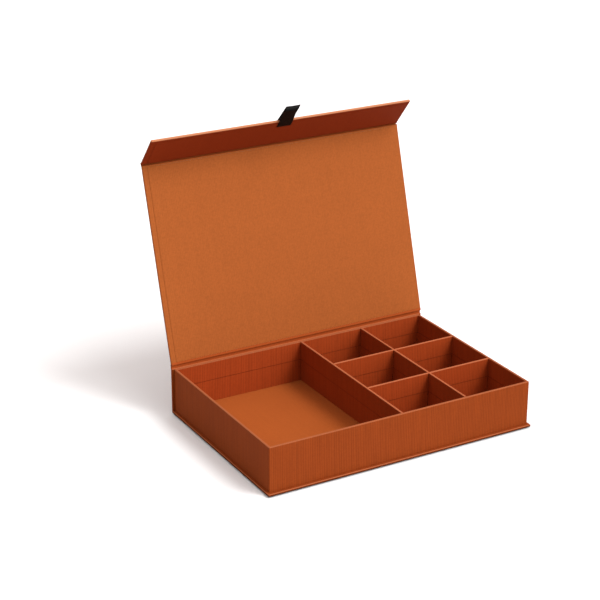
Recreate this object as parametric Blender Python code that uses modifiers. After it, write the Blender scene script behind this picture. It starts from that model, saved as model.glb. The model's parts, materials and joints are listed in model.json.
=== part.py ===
"""Compartment box: a paper-covered board tray with a hinged lid and a magnetic front flap.

Metres, +Z up, +Y to the back. The origin is the centre of the base's underside.
The box stands open: the lid leans back and the flap leans forward over it.
"""
import math

import bmesh
import bpy
from mathutils import Vector

# Driving dimensions
TRAY_WIDTH = 0.330
TRAY_DEPTH = 0.223
TRAY_HEIGHT = 0.052
WALL = 0.0028  # wall board with paper on both faces
DIVIDER = 0.0025  # divider board with paper on both faces
CASE = 0.0030  # base, spine, lid or flap: board with paper on both faces
PAPER = 0.0003
GLUE = 0.0001  # clearance where two glued faces meet
SIDE_LIP = 0.0028  # how far the case stands out past the tray's sides
FRONT_LIP = 0.0038
TURN_IN = 0.015  # cover paper folded round a board's edge
RIM_TURN_DOWN = 0.022  # tray paper folded over the rim and down inside
FLOOR_BOARD = 0.0026
MAIN_DIVIDER_X = -0.0010
CORNER_TAPE = 0.00015
CORNER_TAPE_LEG = 0.018

# Lid, flap and their paper hinges
LID_CLEARANCE = 0.0008  # between the tray's rim and the closed lid
LID_LENGTH = 0.2304  # lid hinge to flap hinge
FLAP_LENGTH = 0.0456  # flap hinge to free edge
HINGE_SETBACK = 0.0010  # bare paper between a hinge line and the board that turns on it
FLAP_GAP = CASE + 0.0003  # bare paper between the lid board and the flap hinge line
LID_OPEN = math.radians(106.2)  # from closed
FLAP_FOLD = math.radians(56.3)  # from flat with the lid
LINER_INSET_LEFT = 0.0064
LINER_INSET_RIGHT = 0.0040
LINER_INSET_END = 0.0020
LINER_INSET_EDGE = 0.0040  # at the flap's free edge

# Magnetic catch
MAGNET_SPACING = 0.220
MAGNET_DROP = 0.032  # below the flap hinge line, along the flap
MAGNET_RADIUS = 0.006
MAGNET_THICKNESS = 0.0018
PLATE_RADIUS = 0.007
PLATE_THICKNESS = 0.0007
DISC_CLEARANCE = 0.0003
DISC_SIDES = 32

BEYOND = 1.0  # past any part of the box, for cutters that go right across it

# Ribbon pull
RIBBON_WIDTH = 0.017
RIBBON = 0.0005
RIBBON_SLIT_INSET = 0.0094  # slit's distance from the flap's free edge
RIBBON_SLIT = 0.0013
RIBBON_STRAIGHT = 0.0215
RIBBON_TURN_RADIUS = 0.0027
RIBBON_START = 0.0003  # gap that lets the loop swing at the flap's edge
RIBBON_CORNER = 0.0005
RIBBON_CLEARANCE = 0.0003
RIBBON_CORNER_STEPS = 4
RIBBON_TURN_STEPS = 12
RIBBON_BACK_STEPS = 10

# Places that follow from them
SKIN = PAPER + GLUE
CASE_HALF = TRAY_WIDTH / 2 + SIDE_LIP
TRAY_HALF = TRAY_WIDTH / 2
CASE_DEPTH = FRONT_LIP + TRAY_DEPTH + GLUE + CASE
CASE_FRONT = -CASE_DEPTH / 2
SPINE_REAR = CASE_DEPTH / 2
SPINE_FRONT = SPINE_REAR - CASE
TRAY_FRONT = CASE_FRONT + FRONT_LIP
TRAY_REAR = TRAY_FRONT + TRAY_DEPTH
TRAY_BOTTOM = CASE + GLUE
RIM = TRAY_BOTTOM + TRAY_HEIGHT
INNER_HALF = TRAY_HALF - WALL
INNER_FRONT = TRAY_FRONT + WALL
INNER_REAR = TRAY_REAR - WALL
HINGE_Z = RIM + LID_CLEARANCE + CASE
SPINE_BOTTOM = CASE + 0.0003
WALL_FACE = SKIN + CORNER_TAPE + GLUE  # wall board's outer face, in from the tray's face
WALL_BOARD = WALL - WALL_FACE - SKIN
FLOOR_TOP = TRAY_BOTTOM + FLOOR_BOARD
WALL_BOTTOM = FLOOR_TOP + GLUE
LINER_BOTTOM = WALL_BOTTOM
DIVIDER_BOTTOM = LINER_BOTTOM + PAPER + GLUE
TURN_LINE = RIM - RIM_TURN_DOWN
RIBBON_IN = -(CASE + SKIN + GLUE + RIBBON / 2)  # ribbon's middle on the flap's inner face
RIBBON_OUT = GLUE + RIBBON / 2

# Colours, linear
COVER_RED = (0.40, 0.085, 0.022, 1.0)
LINING_ORANGE = (0.50, 0.125, 0.032, 1.0)
GREYBOARD = (0.27, 0.24, 0.20, 1.0)
STEEL = (0.55, 0.55, 0.56, 1.0)
MAGNET = (0.62, 0.62, 0.64, 1.0)
RIBBON_BLACK = (0.012, 0.012, 0.013, 1.0)
KRAFT = (0.42, 0.30, 0.18, 1.0)


def clear_scene():
    for old in list(bpy.data.objects):
        bpy.data.objects.remove(old, do_unlink=True)


def new_collection(name):
    found = bpy.data.collections.new(name)
    bpy.context.scene.collection.children.link(found)
    return found


def axis_empty(name, place, angle, parent=None):
    """An empty on a hinge line, turned about X; its children are laid out as if closed."""
    empty = bpy.data.objects.new(name, None)
    empty.empty_display_size = 0.02
    empty.location = place
    empty.rotation_euler = (angle, 0.0, 0.0)
    empty.parent = parent
    PARTS.objects.link(empty)
    return empty


def material(name, colour, roughness, metallic):
    made = bpy.data.materials.new(name)
    made.use_nodes = True
    shader = made.node_tree.nodes["Principled BSDF"]
    shader.inputs["Base Color"].default_value = colour
    shader.inputs["Roughness"].default_value = roughness
    shader.inputs["Metallic"].default_value = metallic
    made.diffuse_color = colour
    return made


def add_object(name, mesh, parent, colour, roughness=0.75, metallic=0.0):
    made = bpy.data.objects.new(name, mesh)
    made.parent = parent
    PARTS.objects.link(made)
    mesh.materials.append(material(name, colour, roughness, metallic))
    return made


def box_mesh(name, low, high):
    mesh = bpy.data.meshes.new(name)
    bm = bmesh.new()
    bmesh.ops.create_cube(bm, size=1.0)
    size = Vector(high) - Vector(low)
    bmesh.ops.scale(bm, vec=size, verts=bm.verts)
    bm.to_mesh(mesh)
    bm.free()
    return mesh


def slab(name, low, high, colour, parent=None, **finish):
    """A box from its low corner to its high corner."""
    made = add_object(name, box_mesh(name, low, high), parent, colour, **finish)
    made.location = (Vector(low) + Vector(high)) / 2
    return made


def disc_mesh(name, radius, thickness):
    mesh = bpy.data.meshes.new(name)
    bm = bmesh.new()
    bmesh.ops.create_cone(
        bm, cap_ends=True, segments=DISC_SIDES, radius1=radius, radius2=radius, depth=thickness
    )
    bm.to_mesh(mesh)
    bm.free()
    mesh.shade_smooth()
    mesh.set_sharp_from_angle(angle=math.radians(40))
    return mesh


def cut(target, cutter):
    cutter.parent = target.parent
    cutter.hide_render = True
    cutter.display_type = "WIRE"
    CUTTERS.objects.link(cutter)
    boolean = target.modifiers.new(cutter.name, "BOOLEAN")
    boolean.operation = "DIFFERENCE"
    boolean.solver = "EXACT"
    boolean.object = cutter


def cut_box(target, low, high):
    name = f"{target.name}_cut_{len(target.modifiers)}"
    cutter = bpy.data.objects.new(name, box_mesh(name, low, high))
    cutter.location = (Vector(low) + Vector(high)) / 2
    cut(target, cutter)


def cut_disc(target, centre, radius, thickness, turn):
    name = f"{target.name}_cut_{len(target.modifiers)}"
    cutter = bpy.data.objects.new(name, disc_mesh(name, radius, thickness))
    cutter.location = centre
    cutter.rotation_euler = (turn, 0.0, 0.0)
    cut(target, cutter)


def strap(name, path, width, thickness, colour, parent):
    """A ribbon: the path, given as (y, z) points, made width wide in X and then thick."""
    mesh = bpy.data.meshes.new(name)
    bm = bmesh.new()
    rows = [[bm.verts.new((side * width / 2, y, z)) for side in (-1, 1)] for y, z in path]
    for (a, b), (c, d) in zip(rows, rows[1:]):
        bm.faces.new((a, b, d, c))
    bm.to_mesh(mesh)
    bm.free()
    made = add_object(name, mesh, parent, colour, roughness=0.55)
    solid = made.modifiers.new("thickness", "SOLIDIFY")
    solid.thickness = thickness
    solid.offset = 0.0
    solid.use_even_offset = True
    return made


def arc(centre, radius, start, end, steps):
    """Points on an arc in the (y, z) plane, angles in degrees."""
    angles = [math.radians(start + (end - start) * i / steps) for i in range(steps + 1)]
    return [(centre[0] + radius * math.cos(a), centre[1] + radius * math.sin(a)) for a in angles]


# Case: the base and the spine


def build_base():
    edge = CASE_HALF - SKIN
    board_rear = SPINE_REAR - HINGE_SETBACK - GLUE
    slab(
        "base_board", (-edge, CASE_FRONT + SKIN, SKIN), (edge, board_rear, CASE - SKIN), GREYBOARD
    )
    cover = slab(
        "base_cover", (-CASE_HALF, CASE_FRONT, 0.0), (CASE_HALF, SPINE_REAR, CASE), COVER_RED
    )
    inside = CASE_HALF - PAPER
    window = CASE_HALF - TURN_IN
    past = SPINE_REAR + CASE
    cut_box(cover, (-inside, CASE_FRONT + PAPER, PAPER), (inside, past, CASE - PAPER))
    cut_box(cover, (-window, CASE_FRONT + TURN_IN, CASE / 2), (window, past, CASE * 2))
    cut_box(cover, (-BEYOND, SPINE_REAR - HINGE_SETBACK, PAPER), (BEYOND, past, CASE * 2))


def build_spine():
    edge = CASE_HALF - SKIN
    slab(
        "spine_board",
        (-edge, SPINE_FRONT + SKIN, SPINE_BOTTOM),
        (edge, SPINE_REAR - SKIN, RIM - GLUE),
        GREYBOARD,
    )
    cover = slab(
        "spine_cover",
        (-CASE_HALF, SPINE_FRONT, PAPER + GLUE),
        (CASE_HALF, SPINE_REAR, HINGE_Z - PAPER),
        COVER_RED,
    )
    inside = CASE_HALF - PAPER
    window = CASE_HALF - TURN_IN
    above = HINGE_Z + CASE
    cut_box(cover, (-inside, SPINE_FRONT + PAPER, -CASE), (inside, SPINE_REAR - PAPER, above))
    cut_box(cover, (-window, SPINE_FRONT - CASE, -CASE), (window, SPINE_REAR - CASE / 2, above))
    cut_box(cover, (-BEYOND, SPINE_FRONT - CASE, -CASE), (BEYOND, SPINE_REAR - PAPER, SPINE_BOTTOM))
    cut_box(cover, (-BEYOND, SPINE_FRONT - CASE, RIM), (BEYOND, SPINE_REAR - PAPER, above))
    liner = slab(
        "lid_hinge_liner",
        (-inside, SPINE_FRONT + GLUE, RIM + GLUE),
        (inside, SPINE_REAR - SKIN, HINGE_Z - 2 * PAPER),
        LINING_ORANGE,
    )
    cut_box(
        liner,
        (-BEYOND, SPINE_FRONT - CASE, RIM + GLUE + PAPER),
        (BEYOND, SPINE_REAR - SKIN - PAPER, above),
    )


# Tray: floor, four walls and the papers on them


def build_tray_boards():
    outer = TRAY_HALF - WALL_FACE
    inner = outer - WALL_BOARD
    front = TRAY_FRONT + WALL_FACE
    rear = TRAY_REAR - WALL_FACE
    top = RIM - SKIN
    slab("floor_board", (-outer, front, TRAY_BOTTOM), (outer, rear, FLOOR_TOP), GREYBOARD)
    front_wall = slab(
        "front_wall_board",
        (-outer, front, WALL_BOTTOM),
        (outer, front + WALL_BOARD, top),
        GREYBOARD,
    )
    slab(
        "rear_wall_board", (-outer, rear - WALL_BOARD, WALL_BOTTOM), (outer, rear, top), GREYBOARD
    )
    side_front = front + WALL_BOARD + GLUE
    side_rear = rear - WALL_BOARD - GLUE
    for name, side in (("left", -1), ("right", 1)):
        x_low, x_high = sorted((side * inner, side * outer))
        low = (x_low, side_front, WALL_BOTTOM)
        slab(f"{name}_wall_board", low, (x_high, side_rear, top), GREYBOARD)
        build_catch_plate(name, side, front, front_wall)


def build_catch_plate(name, side, front, front_wall):
    """A steel disc let into the front wall's outer face, behind the paper."""
    x = side * MAGNET_SPACING / 2
    z = HINGE_Z - MAGNET_DROP
    turn = math.pi / 2
    mesh = disc_mesh(f"catch_plate_{name}", PLATE_RADIUS, PLATE_THICKNESS)
    plate = add_object(mesh.name, mesh, None, STEEL, roughness=0.35, metallic=1.0)
    plate.location = (x, front + PLATE_THICKNESS / 2, z)
    plate.rotation_euler = (turn, 0.0, 0.0)
    recess = 2 * (PLATE_THICKNESS + GLUE)
    cut_disc(front_wall, (x, front, z), PLATE_RADIUS + DISC_CLEARANCE, recess, turn)


def build_corner_tapes():
    """Paper tape round each corner of the bare tray, under the cover paper."""
    low_z = TRAY_BOTTOM + GLUE
    high_z = RIM - SKIN - GLUE
    for depth_name, y_face, y_in in (("front", TRAY_FRONT, 1), ("rear", TRAY_REAR, -1)):
        for side_name, x_face, x_in in (("left", -TRAY_HALF, 1), ("right", TRAY_HALF, -1)):
            xs = sorted((x_face + x_in * SKIN, x_face + x_in * CORNER_TAPE_LEG))
            ys = sorted((y_face + y_in * SKIN, y_face + y_in * CORNER_TAPE_LEG))
            tape = slab(
                f"corner_tape_{depth_name}_{side_name}",
                (xs[0], ys[0], low_z),
                (xs[1], ys[1], high_z),
                KRAFT,
            )
            inset = SKIN + CORNER_TAPE
            xs = sorted((x_face + x_in * inset, x_face + x_in * 2 * CORNER_TAPE_LEG))
            ys = sorted((y_face + y_in * inset, y_face + y_in * 2 * CORNER_TAPE_LEG))
            cut_box(tape, (xs[0], ys[0], 0.0), (xs[1], ys[1], 2 * RIM))


def build_tray_papers():
    below = 0.0
    above = 2 * RIM
    wrap = slab(
        "tray_wrap",
        (-TRAY_HALF, TRAY_FRONT, TRAY_BOTTOM),
        (TRAY_HALF, TRAY_REAR, RIM),
        COVER_RED,
    )
    cut_box(wrap, (-INNER_HALF, INNER_FRONT, below), (INNER_HALF, INNER_REAR, above))
    slot_in = WALL - PAPER
    slot_top = RIM - PAPER
    x_out, x_in = TRAY_HALF - PAPER, TRAY_HALF - slot_in
    y_front, y_rear = TRAY_FRONT + PAPER, TRAY_REAR - PAPER
    for side in (-1, 1):
        x_low, x_high = sorted((side * x_in, side * x_out))
        cut_box(wrap, (x_low, y_front, below), (x_high, y_rear, slot_top))
    cut_box(wrap, (-x_out, y_front, below), (x_out, TRAY_FRONT + slot_in, slot_top))
    cut_box(wrap, (-x_out, TRAY_REAR - slot_in, below), (x_out, y_rear, slot_top))
    spare = PAPER + GLUE / 2
    cut_box(
        wrap,
        (-INNER_HALF - spare, INNER_FRONT - spare, below),
        (INNER_HALF + spare, INNER_REAR + spare, TURN_LINE),
    )
    liner = slab(
        "wall_liner",
        (-INNER_HALF - PAPER, INNER_FRONT - PAPER, LINER_BOTTOM),
        (INNER_HALF + PAPER, INNER_REAR + PAPER, TURN_LINE - PAPER),
        LINING_ORANGE,
    )
    cut_box(liner, (-INNER_HALF, INNER_FRONT, below), (INNER_HALF, INNER_REAR, above))
    slab(
        "floor_liner",
        (-INNER_HALF + GLUE, INNER_FRONT + GLUE, LINER_BOTTOM),
        (INNER_HALF - GLUE, INNER_REAR - GLUE, LINER_BOTTOM + PAPER),
        LINING_ORANGE,
    )


# Dividers: each a board with paper folded over its top edge, halved where two cross


def divider(name, along, middle, start, end, notches, notch_from_top):
    """One upright divider along 'x' or 'y', with notches at the given places."""
    half = DIVIDER / 2
    skins = {"board": half - SKIN, "wrap": half}
    tops = {"board": RIM - SKIN, "wrap": RIM}
    colours = {"board": GREYBOARD, "wrap": LINING_ORANGE}

    def corner(run, cross, z):
        return (run, cross, z) if along == "x" else (cross, run, z)

    for layer in ("board", "wrap"):
        made = slab(
            f"{name}_{layer}",
            corner(start, middle - skins[layer], DIVIDER_BOTTOM),
            corner(end, middle + skins[layer], tops[layer]),
            colours[layer],
        )
        if layer == "wrap":
            hollow = half - PAPER
            cut_box(
                made,
                corner(start - WALL, middle - hollow, 0.0),
                corner(end + WALL, middle + hollow, RIM - PAPER),
            )
        notch_half = half + 2 * GLUE
        middle_z = (DIVIDER_BOTTOM + RIM) / 2
        low_z = middle_z - GLUE if notch_from_top else 0.0
        high_z = 2 * RIM if notch_from_top else middle_z + GLUE
        for place in notches:
            cut_box(
                made,
                corner(place - notch_half, middle - DIVIDER, low_z),
                corner(place + notch_half, middle + DIVIDER, high_z),
            )


def build_dividers():
    front = INNER_FRONT + GLUE
    rear = INNER_REAR - GLUE
    right = INNER_HALF - GLUE
    main_face = MAIN_DIVIDER_X + DIVIDER / 2
    side_x = (main_face + INNER_HALF) / 2
    row_depth = (INNER_REAR - INNER_FRONT - 2 * DIVIDER) / 3
    cross_front_y = INNER_FRONT + row_depth + DIVIDER / 2
    cross_rear_y = INNER_REAR - row_depth - DIVIDER / 2
    divider("main_divider", "y", MAIN_DIVIDER_X, front, rear, [], True)
    crossings = [cross_front_y, cross_rear_y]
    divider("side_divider", "y", side_x, front, rear, crossings, True)
    for name, y in (("cross_divider_front", cross_front_y), ("cross_divider_rear", cross_rear_y)):
        divider(name, "x", y, main_face + GLUE, right, [side_x], False)


# Lid, laid out closed: it runs from the hinge line towards -Y, its outer face at z = 0


def build_lid(axis):
    edge = CASE_HALF - SKIN
    board_far = -(LID_LENGTH - FLAP_GAP)
    board_near = -HINGE_SETBACK
    slab(
        "lid_board",
        (-edge, board_far + GLUE, -CASE + SKIN),
        (edge, board_near - GLUE, -SKIN),
        GREYBOARD,
        axis,
    )
    sheet_far = -LID_LENGTH + SKIN
    sheet_near = -SKIN
    cover = slab(
        "lid_cover", (-CASE_HALF, sheet_far, -CASE), (CASE_HALF, sheet_near, 0.0), COVER_RED, axis
    )
    inside = CASE_HALF - PAPER
    window = CASE_HALF - TURN_IN
    past = CASE
    below = -2 * CASE
    far = sheet_far - past
    cut_box(cover, (-inside, far, -CASE + PAPER), (inside, past, -PAPER))
    cut_box(cover, (-window, far, below), (window, past, -CASE / 2))
    cut_box(cover, (-BEYOND, far, below), (BEYOND, board_far, -PAPER))
    cut_box(cover, (-BEYOND, board_near, below), (BEYOND, past, -PAPER))
    slab(
        "lid_liner",
        (-CASE_HALF + LINER_INSET_LEFT, board_far + LINER_INSET_END, -CASE - SKIN),
        (CASE_HALF - LINER_INSET_RIGHT, board_near - LINER_INSET_END, -CASE - GLUE),
        LINING_ORANGE,
        axis,
    )
    slab(
        "flap_hinge_liner",
        (-inside, sheet_far, -2 * PAPER - GLUE),
        (inside, board_far, -PAPER - GLUE),
        LINING_ORANGE,
        axis,
    )


# Flap, laid out flat with the lid: hinge line at y = 0, free edge at y = -FLAP_LENGTH


def build_flap(axis):
    edge = CASE_HALF - SKIN
    near = -HINGE_SETBACK
    board = slab(
        "flap_board",
        (-edge, -FLAP_LENGTH + SKIN, -CASE + SKIN),
        (edge, near - GLUE, -SKIN),
        GREYBOARD,
        axis,
    )
    cover = slab(
        "flap_cover",
        (-CASE_HALF, -FLAP_LENGTH, -CASE),
        (CASE_HALF, -SKIN, 0.0),
        COVER_RED,
        axis,
    )
    inside = CASE_HALF - PAPER
    window = CASE_HALF - TURN_IN
    past = CASE
    below = -2 * CASE
    cut_box(cover, (-inside, -FLAP_LENGTH + PAPER, -CASE + PAPER), (inside, past, -PAPER))
    cut_box(cover, (-window, -FLAP_LENGTH + TURN_IN, below), (window, past, -CASE / 2))
    cut_box(cover, (-BEYOND, near, below), (BEYOND, past, -PAPER))
    liner = slab(
        "flap_liner",
        (-CASE_HALF + LINER_INSET_LEFT, -FLAP_LENGTH + LINER_INSET_EDGE, -CASE - SKIN),
        (CASE_HALF - LINER_INSET_RIGHT, near - LINER_INSET_END, -CASE - GLUE),
        LINING_ORANGE,
        axis,
    )
    slit_y = -FLAP_LENGTH + RIBBON_SLIT_INSET
    slit_half = RIBBON_WIDTH / 2 + RIBBON_CLEARANCE
    for layer in (board, cover, liner):
        cut_box(
            layer,
            (-slit_half, slit_y - RIBBON_SLIT / 2, below),
            (slit_half, slit_y + RIBBON_SLIT / 2, CASE),
        )
    for name, side in (("left", -1), ("right", 1)):
        place = (side * MAGNET_SPACING / 2, -MAGNET_DROP, -CASE / 2)
        mesh = disc_mesh(f"flap_magnet_{name}", MAGNET_RADIUS, MAGNET_THICKNESS)
        magnet = add_object(mesh.name, mesh, axis, MAGNET, roughness=0.3, metallic=1.0)
        magnet.location = place
        cut_disc(board, place, MAGNET_RADIUS + DISC_CLEARANCE, CASE, 0.0)


def build_ribbon(flap_axis, loop_axis):
    """The ribbon's ends on the flap, and its free loop on the line where it bends."""
    slit_y = -FLAP_LENGTH + RIBBON_SLIT_INSET
    end_y = -FLAP_LENGTH + RIBBON_START
    turn = RIBBON_CORNER
    path = [(end_y, RIBBON_IN)]
    path += arc((slit_y - turn, RIBBON_IN + turn), turn, -90, 0, RIBBON_CORNER_STEPS)
    path += arc((slit_y - turn, RIBBON_OUT - turn), turn, 0, 90, RIBBON_CORNER_STEPS)
    path += [(end_y, RIBBON_OUT)]
    strap("ribbon_ends", path, RIBBON_WIDTH, RIBBON, RIBBON_BLACK, flap_axis)

    # the loop's own frame has its origin on the bending line, at the outer layer
    inner = RIBBON_IN - RIBBON_OUT
    middle = inner + RIBBON_TURN_RADIUS
    bulge = inner + 2 * RIBBON_TURN_RADIUS
    start = -RIBBON_START
    path = [(start, inner)]
    path += arc((-RIBBON_STRAIGHT, middle), RIBBON_TURN_RADIUS, -90, -270, RIBBON_TURN_STEPS)
    for i in range(1, RIBBON_BACK_STEPS + 1):
        t = i / RIBBON_BACK_STEPS
        ease = t * t * (3 - 2 * t)
        path.append((-RIBBON_STRAIGHT + (RIBBON_STRAIGHT + start) * t, bulge * (1 - ease)))
    strap("pull_loop", path, RIBBON_WIDTH, RIBBON, RIBBON_BLACK, loop_axis)


clear_scene()
PARTS = new_collection("compartment_box")
CUTTERS = new_collection("cutters")

lid_axis = axis_empty("lid_axis", (0.0, SPINE_REAR, HINGE_Z), -LID_OPEN)
flap_axis = axis_empty("flap_axis", (0.0, -LID_LENGTH, 0.0), FLAP_FOLD, lid_axis)
loop_axis = axis_empty("loop_axis", (0.0, -FLAP_LENGTH, RIBBON_OUT), 0.0, flap_axis)

build_base()
build_spine()
build_tray_boards()
build_corner_tapes()
build_tray_papers()
build_dividers()
build_lid(lid_axis)
build_flap(flap_axis)
build_ribbon(flap_axis, loop_axis)
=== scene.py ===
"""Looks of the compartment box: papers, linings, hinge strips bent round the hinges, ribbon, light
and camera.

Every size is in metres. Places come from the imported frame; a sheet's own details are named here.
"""
import json
import math

import bmesh
import bpy
from mathutils import Matrix, Vector


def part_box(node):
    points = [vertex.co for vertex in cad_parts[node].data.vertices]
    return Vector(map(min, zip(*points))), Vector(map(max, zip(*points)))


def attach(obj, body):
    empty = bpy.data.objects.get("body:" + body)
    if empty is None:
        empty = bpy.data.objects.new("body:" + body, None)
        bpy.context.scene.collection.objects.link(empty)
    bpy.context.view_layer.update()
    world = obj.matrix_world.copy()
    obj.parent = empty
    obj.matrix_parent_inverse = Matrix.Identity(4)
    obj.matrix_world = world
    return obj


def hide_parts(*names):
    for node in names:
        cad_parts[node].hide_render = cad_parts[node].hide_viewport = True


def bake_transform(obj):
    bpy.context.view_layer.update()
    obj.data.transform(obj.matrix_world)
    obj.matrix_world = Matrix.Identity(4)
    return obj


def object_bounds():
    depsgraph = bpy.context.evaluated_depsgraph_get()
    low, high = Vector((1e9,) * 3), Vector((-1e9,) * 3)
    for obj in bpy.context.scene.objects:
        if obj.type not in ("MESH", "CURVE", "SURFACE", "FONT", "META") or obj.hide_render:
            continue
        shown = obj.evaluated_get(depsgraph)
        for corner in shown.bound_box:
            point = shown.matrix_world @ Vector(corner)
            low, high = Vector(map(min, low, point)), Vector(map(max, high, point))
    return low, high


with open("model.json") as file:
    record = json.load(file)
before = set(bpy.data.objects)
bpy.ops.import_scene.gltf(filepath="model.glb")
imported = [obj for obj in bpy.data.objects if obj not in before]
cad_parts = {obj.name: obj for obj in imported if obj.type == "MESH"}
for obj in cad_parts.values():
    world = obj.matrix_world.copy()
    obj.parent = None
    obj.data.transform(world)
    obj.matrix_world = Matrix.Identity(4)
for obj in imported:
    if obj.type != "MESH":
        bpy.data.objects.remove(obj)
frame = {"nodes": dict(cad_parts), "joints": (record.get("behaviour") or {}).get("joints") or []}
cad_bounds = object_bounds()

# Papers
PAPER = 0.0003
MERGE = 1e-7  # points closer than this become one
STRIP = 0.00014  # thin paper that lines a hinge
GLUE = 0.00005  # the wall liner is this much thinner than the other papers
CASE_ROUND = 0.00095  # outside radius of a board's folded paper edge
WALL_ROUND = 0.0006
CORNER_ROUND = 0.0007  # upright corners of the tray
EDGE_ROUND = 0.00012  # cut edge of a glued sheet
TURN_IN = 0.015  # width of the paper turned in on a board's inner face
SEAM_WIDTH = 0.00022
SEAM_DEPTH = 0.00016
SEAM_LENGTH = TURN_IN * 1.6
LINER_TUCK = 0.0012  # how far the liner runs up behind the turned-down paper
EDGE_WANDER = 0.00010  # how far a hand-cut paper edge strays
EDGE_STEP = 0.006  # spacing of the points along such an edge
EDGE_WAVES = (61.0, 173.0)  # its long and short waves, in radians per metre
RING_SKEW = 1.7  # how much faster the tray's stray changes along y than along x
DIVIDER_SEED = 90  # gives each divider a stray of its own
SIDE_SHIFT = 0.05  # makes a divider's two sides stray differently
BOARD_SLACK = 0.0001  # between a board's edge and the paper's end or fold
NOTCH_SLACK = 0.00012  # between two dividers that cross
NOTCH_REACH = 0.01  # how far a notch's cutter stands out on each side
PAST_CUT = 0.01  # how far a rounded sheet runs on past its cut
CUT_REACH = 0.1  # how far a cutter reaches past a cut
CUT_HALF = 1.0  # half the width of a cutter that spans the box
SPINE_FOOT = 0.0002  # the spine's paper starts this far above the ground

# Places read from the frame
CASE_LOW, CASE_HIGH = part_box("base_cover")
TRAY_LOW, TRAY_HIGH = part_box("tray_wrap")
LINER_LOW, LINER_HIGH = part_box("wall_liner")
FLOOR_LOW, FLOOR_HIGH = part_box("floor_liner")
_, SPINE_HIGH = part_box("spine_cover")
CASE_HALF = CASE_HIGH.x
CASE = CASE_HIGH.z  # thickness of a covered board
SPINE_REAR = CASE_HIGH.y
BASE_REAR = SPINE_REAR - CASE / 3  # the base's paper ends here, in front of the spine's
RIM = TRAY_HIGH.z
WALL = TRAY_HIGH.x - (LINER_HIGH.x - PAPER)  # thickness of a tray wall with its papers
TURN_LINE = LINER_HIGH.z + PAPER  # lower edge of the wrap inside the tray
LINED_DEPTH = CASE - CASE_ROUND * 1.2  # past this depth a board's paper lies on its inner face
JOINTS = {joint["name"]: joint for joint in frame["joints"]}

# Painted highlights on tops and edges, painted shade under paper edges and round the base's lip
HIGHLIGHT_SHARE = 0.5  # usual share of the painted highlight
# share of the painted highlight on the tray's rim and the lid's hinge band
RIM_HIGHLIGHT_SHARE = 0.35
EDGE_SHADOW_SHARE = 0.45  # share of the painted shadow under paper edges inside the tray
# how far under the paper's edge the painted shadow reaches
EDGE_SHADOW_WIDTH = 0.0008
LIP_SIDE_SHADE = -0.6  # painted shade down the side of the base's lip
LIP_TOP = CASE - 0.0001  # the lip's flat top lies above this
LIP_SHADOW_HEIGHT = CASE_ROUND * 0.9  # below this the lip gets full painted shade, a painted contact shadow
RISING = 0.25  # normal's z of a face that looks at least a little upward
UPRIGHT = 0.1  # normal's z of a face that stands nearly upright
STEEP = 0.5  # normal's z of a face nearer upright than level
FLAP_EDGE_HIGHLIGHT = CASE_ROUND * 0.6  # how much of the flap's free edge gets a painted highlight
CRISP_ANGLE = math.radians(32)  # sharper edges than this stay crisp

# Hinge strips
HINGE_BULGE = 0.0008  # how far the lid's strip stands off the lid board's edge
HINGE_SLACK = 0.0011  # how far the lid's strip stands in from the outer paper
HINGE_LAP = 0.0019  # how far a strip laps onto a board
HINGE_INSET = 0.0002  # how far before the rim's rear rounding the lid's strip starts
HINGE_TURN_IN = 0.0003  # how much further in than its slack that strip turns up
SPINE_TURN = 0.0007  # radii of the strips' turns
EDGE_TURN = 0.0003
INNER_TURN = 0.0002
VALLEY_TURN = 0.0001
OUTER_TURN = 0.0004
FLAP_LINED = 0.0006  # past here along the flap, its strip has the flap's lining, the painted shaded copy
STRIP_STEPS = 24
RIM_HIGHLIGHT_BAND = 0.0012  # height above the rim in which the lid's strip gets a painted highlight
LEVEL = 0.6  # normal's z of a face that lies nearly level
PATH_STEP = 0.00012  # spacing of the points along a strip's section
PATH_PIECES = 12  # most pieces in one straight run
ARC_STEP = 12.0  # most degrees between points round a turn
ARC_PIECES = 3  # fewest pieces round a turn
STRAIGHT = math.radians(178)  # a corner flatter than this isn't rounded

# Ribbon
RIBBON_SLIT_INSET = 0.0094  # from the flap's edge to the slit
RIBBON_SLIT_HALF = 0.0003
RIBBON_SLIT_MARGIN = 0.0003
RIBBON_THICKNESS = 0.00042
RIBBON_COLUMNS = 16
RIBBON_SPARE = 0.0005  # how much wider than nominal the woven edges stand
RIBBON_TURN = 0.0005  # radius where the ribbon comes out of the slit
RIBBON_TURN_STEPS = 6
RIBBON_END = 0.0002  # gap between its two ends in the slit
RIBBON_CUP = 0.00025  # how hollow it is across its width
WEFT_PITCH = 0.00042
WARP_PITCH = 0.00055
LOOP_RADIUS = 0.0027
LOOP_LEAN = 0.0042  # how far the loop's outer run leans sideways at its top
LOOP_BOW = 0.0014  # how far the inner run bows the other way
BOW_WAVE = 0.75 * math.pi  # how much of a sine wave that bow is
LOOP_TURN_STEPS = 18  # points round the loop's turn
INNER_RUN_STEPS = 20
OUTER_RUN_STEPS = 15
FLAP_RUN_STEPS = 6

# Colours, chosen under the light below. The lid's and flap's linings are one paper drawn as a lighter
# lit copy and a darker shaded copy: painted light and shade
COVER_COLOUR = (0.189, 0.0335, 0.0054)
LINING_COLOUR = (0.250, 0.0360, 0.0067)
# the lid's lining: the lighter, lit copy of the paper, painted light
LID_LINING_LIT_COLOUR = (0.257, 0.0665, 0.0145)
FLOOR_LINING_COLOUR = (0.260, 0.0600, 0.0118)
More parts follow.
